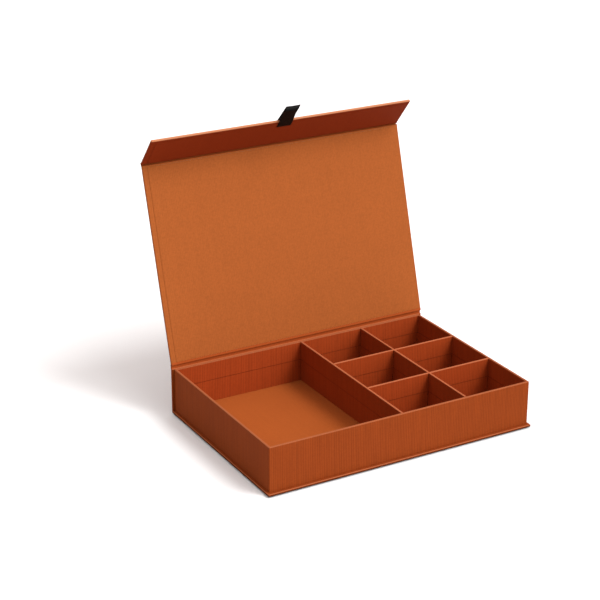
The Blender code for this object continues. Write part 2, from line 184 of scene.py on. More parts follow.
# the flap's lining: the darker, shaded copy of the same paper, painted shade
FLAP_LINING_SHADED_COLOUR = (0.163, 0.0180, 0.0028)
HINGE_COLOUR = (0.270, 0.0510, 0.0098)
HIGHLIGHT_COLOUR = (0.38, 0.155, 0.075, 1.0)  # painted highlight: tops and edges made paler where they catch the light
PAINTED_SHADE_TONE = 0.22  # painted shade: this share of a paper's colour, under paper edges and round the lip
BOARD_COLOURS = ((0.17, 0.15, 0.125, 1.0), (0.34, 0.305, 0.26, 1.0))
TAPE_COLOURS = ((0.33, 0.21, 0.11, 1.0), (0.50, 0.36, 0.21, 1.0))
STEEL_COLOURS = ((0.42, 0.42, 0.43, 1.0), (0.62, 0.62, 0.63, 1.0))
NICKEL_COLOURS = ((0.55, 0.54, 0.52, 1.0), (0.74, 0.73, 0.71, 1.0))
RIBBON_COLOURS = ((0.0006, 0.0005, 0.0005, 1.0), (0.0026, 0.0020, 0.0019, 1.0))

# Paper texture; scales are per metre
RIB_PITCH = 0.0021
RIB_TONE = 0.95
RIB_DEPTH = 0.00006
RIB_WOBBLE = RIB_PITCH * 1.5
STREAK_SCALE = 330.0  # streaks across the ribs
STREAK_STRETCH = 0.035  # how much slower they change along the ribs
STREAK_TONE = 0.32
STREAK_HEIGHT = 1.1
FIBRE_SCALE = 2600.0
FIBRE_TONE = 0.5
FIBRE_HEIGHT = 0.35
MOTTLE_SCALE = 480.0
MOTTLE_TONE = 0.9
CLOUD_SCALE = 24.0
CLOUD_TONE = 0.4
PAPER_SWING = 0.16  # how far the paper's tone strays from its colour
PAPER_SHINE = 0.05
RIBBON_SHINE = 0.06
FLOOR_SHINE = 0.1
SIDEWAYS = 0.7  # normal's x of a face that looks sideways
NOISE_SPAN = (0.3, 0.7)  # between these values lies most of a noise

# Stage, light and camera
FLOOR_TONE = (0.665, 0.68, 0.685)
FLOOR_GLOW = 0.02
FLOOR_GLOW_TINT = (1.0, 0.985, 0.98, 1.0)
FLOOR_GAP = 0.0014  # the floor lies this far below the box
FLOOR_HALF = 8.0
FLOOR_SQUARES = 8
KEY_DIRECTION = (0.389, -0.429, 0.81)
KEY_ANGLE = math.radians(22)
KEY_STRENGTH = 2.1
FRONT_DIRECTION = (0.4, -0.8, 0.45)  # a wide soft light beside the camera
FRONT_ANGLE = math.radians(50)
FRONT_STRENGTH = 2.4
FILL_TINT = (1.0, 0.91, 0.885)
FILL_LOW = 0.17  # light from low down all round
FILL_HIGH = 1.85  # light from overhead
FILL_CLIMB = (0.25, 0.95)  # heights between which one turns into the other
CAMERA_PLACE = (-0.92996, -1.51335, 0.87284)
CAMERA_AZIMUTH = math.radians(29.734)
CAMERA_DOWN = math.radians(22.256)
CAMERA_ROLL = 0.00295
CAMERA_LENS = 104.567
CAMERA_SENSOR = 36.0
CAMERA_CLIP = 50.0


# Places


class Place:
    """A flat part's own axes: x along the hinge, a away from the hinge, n in from the outer face."""

    def __init__(self, origin, turn):
        self.origin = Vector(origin)
        self.along = Vector((0.0, -math.cos(turn), -math.sin(turn)))
        self.inward = Vector((0.0, math.sin(turn), -math.cos(turn)))

    def point(self, x, a, n):
        return self.origin + Vector((x, 0.0, 0.0)) + self.along * a + self.inward * n

    def side_point(self, a, n):
        """The same point in the section across the hinges."""
        return in_section(self.point(0, a, n))

    def matrix(self):
        made = Matrix.Identity(4)
        made.col[1][:3] = self.along
        made.col[2][:3] = self.inward
        made.col[3][:3] = self.origin
        return made


def in_section(vector):
    """A point's place in the section across the hinges, as (y, z)."""
    return Vector((vector.y, vector.z))


def reach_of(place, node):
    """A node's least and greatest a, and its least and greatest n, on a place's axes."""
    points = [v.co - place.origin for v in frame["nodes"][node].data.vertices]
    reach = [p.dot(place.along) for p in points]
    depth = [p.dot(place.inward) for p in points]
    return min(reach), max(reach), min(depth), max(depth)


LID_OPEN = math.radians(JOINTS["lid_hinge"]["range_deg"][1])
FLAP_FOLD = -math.radians(JOINTS["flap_hinge"]["range_deg"][0])
LID = Place(JOINTS["lid_hinge"]["pos_m"], -LID_OPEN)
FLAP = Place(JOINTS["flap_hinge"]["pos_m"], FLAP_FOLD - LID_OPEN)
WORLD = Matrix.Identity(4)
SPINE = Matrix(((1, 0, 0, 0), (0, 0, -1, SPINE_REAR), (0, 1, 0, 0), (0, 0, 0, 1)))


def smooth(share):
    """Eases a share from 0 to 1 in and out."""
    return share * share * (3 - 2 * share)


# Materials


class Nodes:
    """Short calls for building a shader tree."""

    MIX_SOCKETS = (6, 7)  # the colour sockets of a Mix node, and its colour output
    MIX_RESULT = 2

    def __init__(self, name, roughness, metallic=0.0):
        self.material = bpy.data.materials.new(name)
        self.material.use_nodes = True
        self.tree = self.material.node_tree
        self.shader = self.tree.nodes["Principled BSDF"]
        self.shader.inputs["Roughness"].default_value = roughness
        self.shader.inputs["Metallic"].default_value = metallic
        coordinates = self.add("ShaderNodeTexCoord")
        self.place = coordinates.outputs["Object"]
        self.facing = coordinates.outputs["Normal"]

    def add(self, kind, **values):
        node = self.tree.nodes.new(kind)
        for key, value in values.items():
            setattr(node, key, value)
        return node

    def link(self, source, target):
        self.tree.links.new(source, target)

    def feed(self, socket, value):
        if isinstance(value, bpy.types.NodeSocket):
            self.link(value, socket)
        else:
            socket.default_value = value

    def math(self, operation, *values, clamp=False):
        node = self.add("ShaderNodeMath", operation=operation, use_clamp=clamp)
        for socket, value in zip(node.inputs, values):
            self.feed(socket, value)
        return node.outputs[0]

    def sway(self, value, weight, tone):
        """Tone with the value's sway about a half added by weight."""
        return self.math("MULTIPLY_ADD", self.math("SUBTRACT", value, 0.5), weight, tone)

    def split(self, vector):
        node = self.add("ShaderNodeSeparateXYZ")
        self.link(vector, node.inputs[0])
        return node.outputs

    def join(self, x, y, z):
        node = self.add("ShaderNodeCombineXYZ")
        for socket, value in zip(node.inputs, (x, y, z)):
            self.feed(socket, value)
        return node.outputs[0]

    def noise(self, vector, scale, detail=2.0, roughness=0.5):
        node = self.add("ShaderNodeTexNoise")
        self.link(vector, node.inputs["Vector"])
        node.inputs["Scale"].default_value = scale
        node.inputs["Detail"].default_value = detail
        node.inputs["Roughness"].default_value = roughness
        return node.outputs["Fac"]

    def spread(self, value, span, to_low, to_high):
        """The value with span stretched to the range from to_low to to_high."""
        node = self.add("ShaderNodeMapRange")
        for socket, number in zip(node.inputs, (value, *span, to_low, to_high)):
            self.feed(socket, number)
        return node.outputs[0]

    def tint(self, factor, dark, light):
        node = self.add("ShaderNodeMix", data_type="RGBA")
        self.feed(node.inputs["Factor"], factor)
        for place, colour in zip(self.MIX_SOCKETS, (dark, light)):
            self.feed(node.inputs[place], colour)
        return node.outputs[self.MIX_RESULT]

    def bump(self, height, depth):
        node = self.add("ShaderNodeBump")
        node.inputs["Distance"].default_value = depth
        node.inputs["Strength"].default_value = 1.0
        self.link(height, node.inputs["Height"])
        self.link(node.outputs["Normal"], self.shader.inputs["Normal"])

    def colour(self, value):
        self.feed(self.shader.inputs["Base Color"], value)

    def roughness(self, value, low, high):
        """Roughness from low to high as a noise's value crosses its usual span."""
        self.feed(self.shader.inputs["Roughness"], self.spread(value, NOISE_SPAN, low, high))

    def shine(self, level):
        self.shader.inputs["Specular IOR Level"].default_value = level


def shade(colour, amount):
    """The colour made darker or lighter, with full alpha."""
    return (colour[0] * amount, colour[1] * amount, colour[2] * amount, 1.0)


def rib_axes(made):
    """Where a point lies across and along the ribs, and whether its face looks sideways."""
    x, y, z = made.split(made.place)
    normal_x = made.split(made.facing)[0]
    sideways = made.math("GREATER_THAN", made.math("ABSOLUTE", normal_x), SIDEWAYS)
    across = made.math("MULTIPLY_ADD", sideways, made.math("SUBTRACT", y, x), x)
    along_y = made.math("MULTIPLY", y, made.math("SUBTRACT", 1.0, sideways))
    return across, made.math("ADD", along_y, z), sideways


def ribs(made, across, streak_place):
    """Even ribs between 0 and 1 that wobble a little sideways."""
    broad = made.noise(streak_place, STREAK_SCALE / 6)
    wobble = made.math("MULTIPLY", made.math("SUBTRACT", broad, 0.5), RIB_WOBBLE)
    phase = made.math("MULTIPLY", made.math("ADD", across, wobble), 2 * math.pi / RIB_PITCH)
    return made.math("MULTIPLY_ADD", made.math("SINE", phase), 0.5, 0.5)


def with_painted_light(made, flat, fibres, shade_colour):
    """The flat colour with a painted highlight where the faces' fold value is positive, painted shade
    where negative.
    """
    fold = made.add("ShaderNodeAttribute", attribute_name="fold").outputs["Fac"]
    uneven = made.spread(fibres, NOISE_SPAN, 0.7, 1.0)
    lit_share = made.math("MULTIPLY", fold, uneven, clamp=True)
    shade_share = made.math("MULTIPLY", fold, -1.0, clamp=True)
    return made.tint(shade_share, made.tint(lit_share, flat, HIGHLIGHT_COLOUR), shade_colour)


def ribbed_paper(name, colour, grain=1.0, ribbing=1.0):
    """Fine-ribbed cover paper; the ribs run up the walls and front to back on flat faces.

    grain is how strong the whole texture is, and ribbing the share that runs in ribs."""
    made = Nodes(name, roughness=0.78)
    across, lengthways, sideways = rib_axes(made)
    slow = made.math("MULTIPLY", lengthways, STREAK_STRETCH)
    streak_place = made.join(across, slow, sideways)
    streaks = made.noise(streak_place, STREAK_SCALE, detail=3.0, roughness=0.6)
    rib = ribs(made, across, streak_place)
    fibres = made.noise(made.place, FIBRE_SCALE, detail=3.0, roughness=0.65)
    mottle = made.noise(made.place, MOTTLE_SCALE, detail=2.0, roughness=0.6)
    cloud = made.noise(made.place, CLOUD_SCALE, detail=4.0)
    tone = made.spread(streaks, NOISE_SPAN, -STREAK_TONE * ribbing, STREAK_TONE * ribbing)
    tone = made.sway(fibres, FIBRE_TONE, tone)
    tone = made.sway(mottle, MOTTLE_TONE / ribbing, tone)
    tone = made.sway(rib, RIB_TONE * ribbing, tone)
    tone = made.sway(cloud, CLOUD_TONE, tone)
    tone = made.math("ADD", tone, 0.5, clamp=True)
    swing = PAPER_SWING * grain
    flat = made.tint(tone, shade(colour, 1 - swing), shade(colour, 1 + swing))
    made.colour(with_painted_light(made, flat, fibres, shade(colour, PAINTED_SHADE_TONE)))
    made.roughness(fibres, low=0.7, high=0.88)
    made.shine(PAPER_SHINE)
    height = made.math("MULTIPLY_ADD", streaks, STREAK_HEIGHT, made.math("MULTIPLY", rib, 0.5))
    height = made.math("MULTIPLY_ADD", fibres, FIBRE_HEIGHT, height)
    made.bump(height, depth=RIB_DEPTH * grain)
    return made.material


def greyboard(name):
    """Recycled grey board, mottled and flecked."""
    made = Nodes(name, roughness=0.92)
    flecks = made.noise(made.place, scale=900.0, detail=4.0, roughness=0.7)
    cloud = made.noise(made.place, scale=60.0, detail=3.0)
    mix = made.math("MULTIPLY_ADD", flecks, 0.7, made.math("MULTIPLY", cloud, 0.3))
    tone = made.spread(mix, (0.35, 0.65), 0.0, 1.0)
    made.colour(made.tint(tone, *BOARD_COLOURS))
    made.roughness(flecks, low=0.85, high=0.97)
    made.bump(flecks, depth=0.00008)
    return made.material


def kraft_tape(name):
    """Brown paper tape with fibres along it."""
    made = Nodes(name, roughness=0.7)
    x, y, z = made.split(made.place)
    drawn_out = made.join(x, y, made.math("MULTIPLY", z, 0.15))
    fibres = made.noise(drawn_out, scale=1500.0, detail=4.0)
    tone = made.spread(fibres, NOISE_SPAN, 0.0, 1.0)
    made.colour(made.tint(tone, *TAPE_COLOURS))
    made.roughness(fibres, low=0.6, high=0.8)
    made.bump(fibres, depth=0.00004)
    return made.material


def metal(name, colours, roughness, grain=1.0):
    """Stamped metal with fine marks, which a grain below 1 draws out along x."""
    made = Nodes(name, roughness, metallic=1.0)
    x, y, z = made.split(made.place)
    drawn_out = made.join(made.math("MULTIPLY", x, grain), y, z)
    marks = made.noise(drawn_out, scale=700.0, detail=4.0)
    spots = made.noise(made.place, scale=350.0)
    made.colour(made.tint(made.spread(marks, NOISE_SPAN, 0.0, 1.0), *colours))
    made.roughness(spots, low=roughness * 0.7, high=roughness * 1.3)
    made.bump(marks, depth=0.00002)
    return made.material


def satin_ribbon(name):
    """Black satin ribbon with a fine crosswise weave."""
    made = Nodes(name, roughness=0.42)
    x, y, z = made.split(made.place)
    climb = made.math("SUBTRACT", z, y)
    weft = made.math("SINE", made.math("MULTIPLY", climb, 2 * math.pi / WEFT_PITCH))
    warp = made.math("SINE", made.math("MULTIPLY", x, 2 * math.pi / WARP_PITCH))
    weave = made.math("MULTIPLY_ADD", made.math("MULTIPLY", weft, warp), 0.5, 0.5)
    drawn_out = made.join(x, made.math("MULTIPLY", climb, 0.2), z)
    fibres = made.noise(drawn_out, scale=2500.0, detail=3.0)
    tone = made.math("MULTIPLY_ADD", weave, 0.5, made.math("MULTIPLY", fibres, 0.5))
    made.colour(made.tint(tone, *RIBBON_COLOURS))
    made.roughness(fibres, low=0.42, high=0.58)
    made.shine(RIBBON_SHINE)
    made.bump(tone, depth=0.00006)
    return made.material


def pale_floor(name):
    """The studio's floor, nearly even."""
    made = Nodes(name, roughness=0.6)
    cloud = made.noise(made.place, scale=3.0)
    made.colour(made.tint(cloud, shade(FLOOR_TONE, 0.97), shade(FLOOR_TONE, 1.03)))
    made.shine(FLOOR_SHINE)
    made.shader.inputs["Emission Color"].default_value = FLOOR_GLOW_TINT
    made.shader.inputs["Emission Strength"].default_value = FLOOR_GLOW
    return made.material


COVER = ribbed_paper("cover_paper", COVER_COLOUR)
LINING = ribbed_paper("lining_paper", LINING_COLOUR)
FLOOR_LINING = ribbed_paper("floor_lining_paper", FLOOR_LINING_COLOUR, grain=0.5, ribbing=0.5)
# the lid's and flap's linings: one paper as a painted lit copy and a painted shaded copy
LID_LINING_LIT = ribbed_paper("lid_lining_lit_paper", LID_LINING_LIT_COLOUR, grain=0.6, ribbing=0.4)
FLAP_LINING_SHADED = ribbed_paper("flap_lining_shaded_paper", FLAP_LINING_SHADED_COLOUR, grain=0.5, ribbing=0.5)
HINGE_LINING = ribbed_paper("hinge_lining_paper", HINGE_COLOUR, grain=0.35)
BOARD = greyboard("greyboard")
TAPE = kraft_tape("corner_tape")
STEEL = metal("catch_steel", STEEL_COLOURS, roughness=0.38, grain=0.1)
MAGNET = metal("magnet_nickel", NICKEL_COLOURS, roughness=0.22)
RIBBON = satin_ribbon("ribbon_satin")


# Mesh helpers


def link_mesh(name, bm, material, matrix=WORLD):
    """Makes an object of bm, placed by matrix in its mesh, with clean normals and crisp edges."""
    bmesh.ops.remove_doubles(bm, verts=bm.verts, dist=MERGE)
    bmesh.ops.dissolve_degenerate(bm, dist=MERGE, edges=bm.edges)
    bmesh.ops.recalc_face_normals(bm, faces=bm.faces)
    mesh = bpy.data.meshes.new(name)
    bm.to_mesh(mesh)
    bm.free()
    mesh.transform(matrix)
    made = bpy.data.objects.new(name, mesh)
    bpy.context.scene.collection.objects.link(made)
    mesh.materials.append(material)
    finish_shading(made)
    return made


def finish_shading(made):
    """Smooth faces with crisp folds."""
    made.data.shade_smooth()
    made.data.set_sharp_from_angle(angle=CRISP_ANGLE)
    weighted = made.modifiers.new("weighted_normals", "WEIGHTED_NORMAL")
    weighted.keep_sharp = True


def mark(made, value, chosen):
    """Gives the chosen faces a value of the fold attribute: 1 full painted highlight, -1 full painted
    shade.
    """
    mesh = made.data
    fold = mesh.attributes.get("fold") or mesh.attributes.new("fold", "FLOAT", "FACE")
    for face in mesh.polygons:
        if chosen(face):
            fold.data[face.index].value = value


def mark_top_highlight(made, share):
    """Paints a highlight on the paper that goes over a wall's top."""
    mark(made, share, lambda face: face.center.z > RIM - WALL_ROUND)


def mark_edge_shadow(made):
    """Paints shadow on the liner just under the turned-down paper's edge."""
    low = TURN_LINE - EDGE_SHADOW_WIDTH - EDGE_WANDER
    mark(
        made,
        -EDGE_SHADOW_SHARE,
        lambda face: low < face.center.z < TURN_LINE and abs(face.normal.z) < STEEP,
    )


def add_lining(made, lining, chosen):
    """Gives the chosen faces a lining of their own."""
    made.data.materials.append(lining)
    for face in made.data.polygons:
        if chosen(face.center):
            face.material_index = 1


def quarter(centre, radius, start, steps=4, turn=90.0):
    """Points on an arc, angles in degrees."""
    angles = [math.radians(start + turn * i / steps) for i in range(steps + 1)]
    return [(centre[0] + radius * math.cos(a), centre[1] + radius * math.sin(a)) for a in angles]


def join_rows(bm, rows, closed=True):
    """Faces between neighbouring rows of vertices; a closed row's end meets its start."""
    count = len(rows[0])
    for first, second in zip(rows, rows[1:]):
        for i in range(count if closed else count - 1):
            j = (i + 1) % count
            bm.faces.new((first[i], first[j], second[j], second[i]))


def plain_box(low, high):
    """A box between two corners."""
    bm = bmesh.new()
    bmesh.ops.create_cube(bm, size=1.0)
    low, high = Vector(low), Vector(high)
    bmesh.ops.scale(bm, vec=high - low, verts=bm.verts)
    bmesh.ops.translate(bm, vec=(low + high) / 2, verts=bm.verts)
    return bm


def rounded_box(low, high, radius, segments=4):
    """A box with every edge rounded."""
    bm = plain_box(low, high)
    bmesh.ops.bevel(
        bm, geom=bm.edges, offset=radius, segments=segments, profile=0.5, affect="EDGES"
    )
    return bm


def temporary(bm):
    """An object that holds bm while it is cut."""
    mesh = bpy.data.meshes.new("temporary")
    bm.to_mesh(mesh)
    bm.free()
    made = bpy.data.objects.new("temporary", mesh)
    bpy.context.scene.collection.objects.link(made)
    return made


def evaluated_mesh(made):
    """A copy of an object's mesh with its modifiers applied."""
    graph = bpy.context.evaluated_depsgraph_get()
    return bpy.data.meshes.new_from_object(made.evaluated_get(graph))


def carve(body, cutters):
    """The body's bmesh with each cutter's bmesh taken away."""
    target = temporary(body)
    tools = [temporary(cutter) for cutter in cutters]
    for tool in tools:
        boolean = target.modifiers.new("cut", "BOOLEAN")
        boolean.operation = "DIFFERENCE"
        boolean.solver = "EXACT"
        boolean.object = tool
    result = bmesh.new()
    result.from_mesh(evaluated_mesh(target))
    for old in [target] + tools:
        bpy.data.objects.remove(old, do_unlink=True)
    return result


# Folded covers


def seam_cutter(corner, inward_x, inward_a):
    """A thin prism along the mitre from a corner, sunk into the inner face."""
    bm = plain_box(
        (-CASE_ROUND, -SEAM_WIDTH / 2, -SEAM_DEPTH), (SEAM_LENGTH, SEAM_WIDTH / 2, SEAM_DEPTH)
    )
    angle = math.atan2(inward_a, inward_x)
    bmesh.ops.rotate(bm, matrix=Matrix.Rotation(angle, 3, "Z"), verts=bm.verts)
    bmesh.ops.translate(bm, vec=(corner[0], corner[1], CASE), verts=bm.verts)
    return bm


def cover_sheet(a_low, a_high):
    """A solid with a covered board's rounded outside."""
    return rounded_box((-CASE_HALF, a_low, 0.0), (CASE_HALF, a_high, CASE), CASE_ROUND)


def board_room(a_low, a_high):
    """The room for the board inside such a solid."""
    low = (-CASE_HALF + PAPER, a_low + PAPER, PAPER)
    high = (CASE_HALF - PAPER, a_high - PAPER, CASE - PAPER)
    return rounded_box(low, high, CASE_ROUND - PAPER, segments=3)


def window(a_low, a_high):
    """The opening on the inner face, between the turned-in edges."""
    half = CASE_HALF - TURN_IN
    return plain_box((-half, a_low, CASE / 2), (half, a_high, CASE * 2))


def past(place, sign):
    """All that lies past a cut, in the direction of sign."""
    low, high = sorted((place, place + sign * CUT_REACH))
    return plain_box((-CUT_HALF, low, -CASE), (CUT_HALF, high, CASE * 2))


def folded_cover(name, matrix, a_low, a_high, cut_low, cut_high, extra=()):
    """Cover paper folded round a board and turned in on its inner face.

    a_low to a_high is the rounded sheet's reach, and what lies before cut_low or past cut_high
    is cut away, so an end that is cut has no fold."""
    window_low = a_low + TURN_IN if cut_low is None else a_low - CASE
    window_high = a_high - TURN_IN if cut_high is None else a_high + CASE
    cutters = [board_room(a_low, a_high), window(window_low, window_high)]
    ends = ((cut_low, a_low, -1), (cut_high, a_high, 1))
    cutters += [past(cut, sign) for cut, _, sign in ends if cut is not None]
    for cut, end, sign in ends:
        if cut is None:
            cutters += [seam_cutter((side * CASE_HALF, end), -side, -sign) for side in (-1, 1)]
    body = carve(cover_sheet(a_low, a_high), cutters + list(extra))
    return link_mesh(name, body, COVER, matrix)


# Case: base and spine


def build_base():
    reach = BASE_REAR + 2 * PAST_CUT
    base = folded_cover("base_cover_paper", WORLD, CASE_LOW.y, reach, None, BASE_REAR)
    side_top = CASE - CASE_ROUND
    # painted highlight on the lip's top, painted shade down its side and a painted contact shadow at
    # its foot
    mark(base, HIGHLIGHT_SHARE, lambda face: face.normal.z > RISING and face.center.z < LIP_TOP)
    mark(base, LIP_SIDE_SHADE, lambda face: abs(face.normal.z) < UPRIGHT and face.center.z < side_top)
    mark(base, -1.0, lambda face: face.center.z < LIP_SHADOW_HEIGHT)
    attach(base, "tray")
    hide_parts("base_cover")


def build_spine():
    top = SPINE_HIGH.z + 2 * PAST_CUT
    cutters = [
        board_room(SPINE_FOOT, top + PAST_CUT + PAPER),
        window(-CASE, 2 * CUT_REACH),
        plain_box((-CUT_HALF, RIM, -CASE), (CUT_HALF, 2 * CUT_REACH, CASE * 2)),
        plain_box((-CUT_HALF, -CASE, CASE / 3), (CUT_HALF, CASE + SPINE_FOOT, CASE * 2)),
    ]
    body = carve(cover_sheet(SPINE_FOOT, top), cutters)
    spine = link_mesh("spine_cover_paper", body, COVER, SPINE)
    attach(spine, "tray")
    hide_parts("spine_cover")


# Tray papers


def wander(seed, place):
    """A smooth stray of a cut edge, between -1 and 1: two waves that the seed shifts."""
    long_wave, short_wave = EDGE_WAVES
    slow = math.sin(place * long_wave + seed)
    quick = math.sin(place * short_wave + 2.1 * seed)
    return 0.6 * slow + 0.4 * quick


def ring_points(low, high, inset, radius, steps):
    """Points round an upright rectangle at an inset, with its corners rounded by radius."""
    spans = [max(2, round((high[axis] - low[axis]) / EDGE_STEP)) for axis in (1, 0)]
    reach = max(inset, radius)
    corners = []
    for k, (sx, sy) in enumerate(((1, -1), (1, 1), (-1, 1), (-1, -1))):
        x = high[0] if sx > 0 else low[0]
        y = high[1] if sy > 0 else low[1]
        centre = (x - sx * reach, y - sy * reach)
        corners.append(quarter(centre, max(radius - inset, 0.0), -90 + 90 * k, steps))
    points = []
    for k, corner in enumerate(corners):
        points += corner
        start, end = corner[-1], corners[(k + 1) % 4][0]
        count = spans[k % 2]
        for i in range(1, count):
            t = i / count
            points.append((start[0] + (end[0] - start[0]) * t, start[1] + (end[1] - start[1]) * t))
    return points


def ring_mesh(name, profile, radius, material, stray=None, steps=5):
    """A closed profile of (inset, z) swept round the tray.

    stray, where given, is the z of a cut edge that wanders a little along its length."""
    bm = bmesh.new()
    rows = []
    for inset, z in profile:
        row = []
        for x, y in ring_points(TRAY_LOW.xy, TRAY_HIGH.xy, inset, radius, steps):
            drift = 0.0
            if stray is not None and abs(z - stray) < 2 * PAPER:
                drift = EDGE_WANDER * wander(len(name), x + y * RING_SKEW)
            row.append(bm.verts.new((x, y, z + drift)))
        rows.append(row)
    join_rows(bm, rows + rows[:1])
    return link_mesh(name, bm, material)


def wrap_profile():
    """The tray wrap's section as (inset, z): up outside, over the rim and down inside."""
    r, t = WALL_ROUND, PAPER
    over = quarter((0.0, RIM - r), r, 0)
    under = quarter((0.0, RIM - r), r - t, 0, steps=3)
    profile = [(0.0, TRAY_LOW.z)]
    profile += [(r - x, z) for x, z in over]
    profile += [(WALL - r + x, z) for x, z in reversed(over)]
    profile += [(WALL, TURN_LINE + t / 3), (WALL - t / 3, TURN_LINE), (WALL - t, TURN_LINE)]
    profile += [(WALL - r + x, z) for x, z in under]
    profile += [(r - x, z) for x, z in reversed(under)]
    profile += [(t, TRAY_LOW.z)]
    return profile


def is_inside_tray(centre):
    """Whether a point of the wrap lies past the middle of its wall and below the rim."""
    inside_x = abs(centre.x) < TRAY_HIGH.x - WALL / 2
    inside_y = TRAY_LOW.y + WALL / 2 < centre.y < TRAY_HIGH.y - WALL / 2
    return inside_x and inside_y and centre.z < RIM - WALL_ROUND / 2


def build_tray_wrap():
    wrap = ring_mesh("tray_wrap_paper", wrap_profile(), CORNER_ROUND, COVER, stray=TURN_LINE)
    # painted highlight along the rim
    mark_top_highlight(wrap, RIM_HIGHLIGHT_SHARE)
    add_lining(wrap, LINING, is_inside_tray)
    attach(wrap, "tray")
    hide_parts("tray_wrap")


def build_liners():
    face = WALL - PAPER
    back = face - PAPER + GLUE
    top = TURN_LINE + LINER_TUCK
    profile = [
        (face, LINER_LOW.z),
        (face, TURN_LINE - EDGE_SHADOW_WIDTH),
        (face, TURN_LINE + 2 * EDGE_WANDER),
        (face, top - EDGE_ROUND),
        (face - EDGE_ROUND, top),
        (back, top),
        (back, LINER_LOW.z),
    ]
    liner = ring_mesh("wall_liner_paper", profile, 0.0, LINING, steps=1)
    # painted shadow under the turned-down paper's edge
    mark_edge_shadow(liner)
    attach(liner, "tray")
    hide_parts("wall_liner")

    bm = rounded_box(FLOOR_LOW, FLOOR_HIGH, EDGE_ROUND, segments=2)
    floor = link_mesh("floor_liner_paper", bm, FLOOR_LINING)
    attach(floor, "tray")
    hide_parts("floor_liner")


# Dividers


def divider_profile(half, low, high):
    """A divider's section: paper folded over the top, and the liner under its edge."""
    r, t = WALL_ROUND, PAPER
    face = half - t
    right = [(face, low), (face, TURN_LINE - EDGE_SHADOW_WIDTH), (face, TURN_LINE)]
    right += [(half - t / 3, TURN_LINE), (half, TURN_LINE + t / 3)]
    right += quarter((half - r, high - r), r, 0)
    left = [(-x, z) for x, z in reversed(right)]
    inner, board_top = half - 2 * t, high - t - BOARD_SLACK
    inside = [(-inner, low), (-inner, board_top), (inner, board_top), (inner, low)]
    return right + left + inside


def divider_mesh(node, runs_along_x):
    """A divider's papers as a bmesh, before its notches, and the middle of its thickness."""
    low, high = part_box(node)
    axis, cross = (0, 1) if runs_along_x else (1, 0)
    half = (high[cross] - low[cross]) / 2
    middle = (high[cross] + low[cross]) / 2
    length = high[axis] - low[axis]
    steps = max(2, round(length / EDGE_STEP))
    bm = bmesh.new()
    rows = []
    for i in range(steps + 1):
        run = low[axis] + length * i / steps
        row = []
        for side, z in divider_profile(half, low.z, high.z):
            drift = 0.0
            if abs(z - TURN_LINE) < 2 * PAPER:
                shifted = run + math.copysign(SIDE_SHIFT, side)
                drift = EDGE_WANDER * wander(middle * DIVIDER_SEED, shifted)
            point = (run, middle + side) if runs_along_x else (middle + side, run)
            row.append(bm.verts.new((*point, z + drift)))
        rows.append(row)
    join_rows(bm, rows)
    bm.faces.new(rows[0])
    bm.faces.new(list(reversed(rows[-1])))
    bmesh.ops.recalc_face_normals(bm, faces=bm.faces)
    return bm, middle


def notches(name, middle):
    """Cutters for a divider's notches: the side divider's open upward, the cross dividers' down."""
    side_low, side_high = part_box("side_divider_wrap")
    side_x = (side_low.x + side_high.x) / 2
    main_low, main_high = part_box("main_divider_wrap")
    half = (main_high.x - main_low.x) / 2 + NOTCH_SLACK
    middle_z = (main_low.z + RIM) / 2
    low, high = middle - NOTCH_REACH, middle + NOTCH_REACH
    if name.startswith("cross_divider"):
        return [plain_box((side_x - half, low, 0.0), (side_x + half, high, middle_z))]
    cutters = []
    if name == "side_divider":
        for crossing in ("cross_divider_front_wrap", "cross_divider_rear_wrap"):
            cross_low, cross_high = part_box(crossing)
            y = (cross_low.y + cross_high.y) / 2
            cutters.append(plain_box((low, y - half, middle_z), (high, y + half, CUT_REACH)))
    return cutters


def build_dividers():
    for name in ("main_divider", "side_divider", "cross_divider_front", "cross_divider_rear"):
        bm, middle = divider_mesh(f"{name}_wrap", name.startswith("cross_divider"))
        cutters = notches(name, middle)
        if cutters:
            bm = carve(bm, cutters)
        made = link_mesh(f"{name}_paper", bm, LINING)
        # painted highlight along the divider's top
        mark_top_highlight(made, HIGHLIGHT_SHARE)
        # painted shadow under the turned-down paper's edge
        mark_edge_shadow(made)
        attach(made, "tray")
        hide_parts(f"{name}_wrap")


# Lid and flap


def sheet_box(name, place, node, material, extra=()):
    """A glued liner with softened cut edges, in its CAD node's place."""
    a_low, a_high, n_low, n_high = reach_of(place, node)
    low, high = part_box(node)
    bm = rounded_box((low.x, a_low, n_low), (high.x, a_high, n_high), EDGE_ROUND, segments=2)
    if extra:
        bm = carve(bm, extra)
    return link_mesh(name, bm, material, place.matrix())


def slit_box(edge):
    """The slot in the flap that the ribbon passes through."""
    low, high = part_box("ribbon_ends")
    middle = edge - RIBBON_SLIT_INSET
    return plain_box(
        (low.x - RIBBON_SLIT_MARGIN, middle - RIBBON_SLIT_HALF, -CASE),
        (high.x + RIBBON_SLIT_MARGIN, middle + RIBBON_SLIT_HALF, CASE * 2),
    )


def is_on_inner_face(place):
    """A test for points of the turned-in paper on a board's inner face."""
    return lambda centre: (centre - place.origin).dot(place.inward) > LINED_DEPTH


def build_lid():
    """The lid's papers; returns where they end at the lid hinge and at the flap hinge."""
    board_near, board_far, _, _ = reach_of(LID, "lid_board")
    near, far = board_near - BOARD_SLACK, board_far + BOARD_SLACK
    cover = folded_cover(
        "lid_cover_paper", LID.matrix(), near - PAST_CUT, far + PAST_CUT, near, far
    )
    add_lining(cover, LID_LINING_LIT, is_on_inner_face(LID))
    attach(cover, "lid")
    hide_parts("lid_cover")
    liner = sheet_box("lid_liner_paper", LID, "lid_liner", LID_LINING_LIT)
    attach(liner, "lid")
    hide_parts("lid_liner")
    return near, far


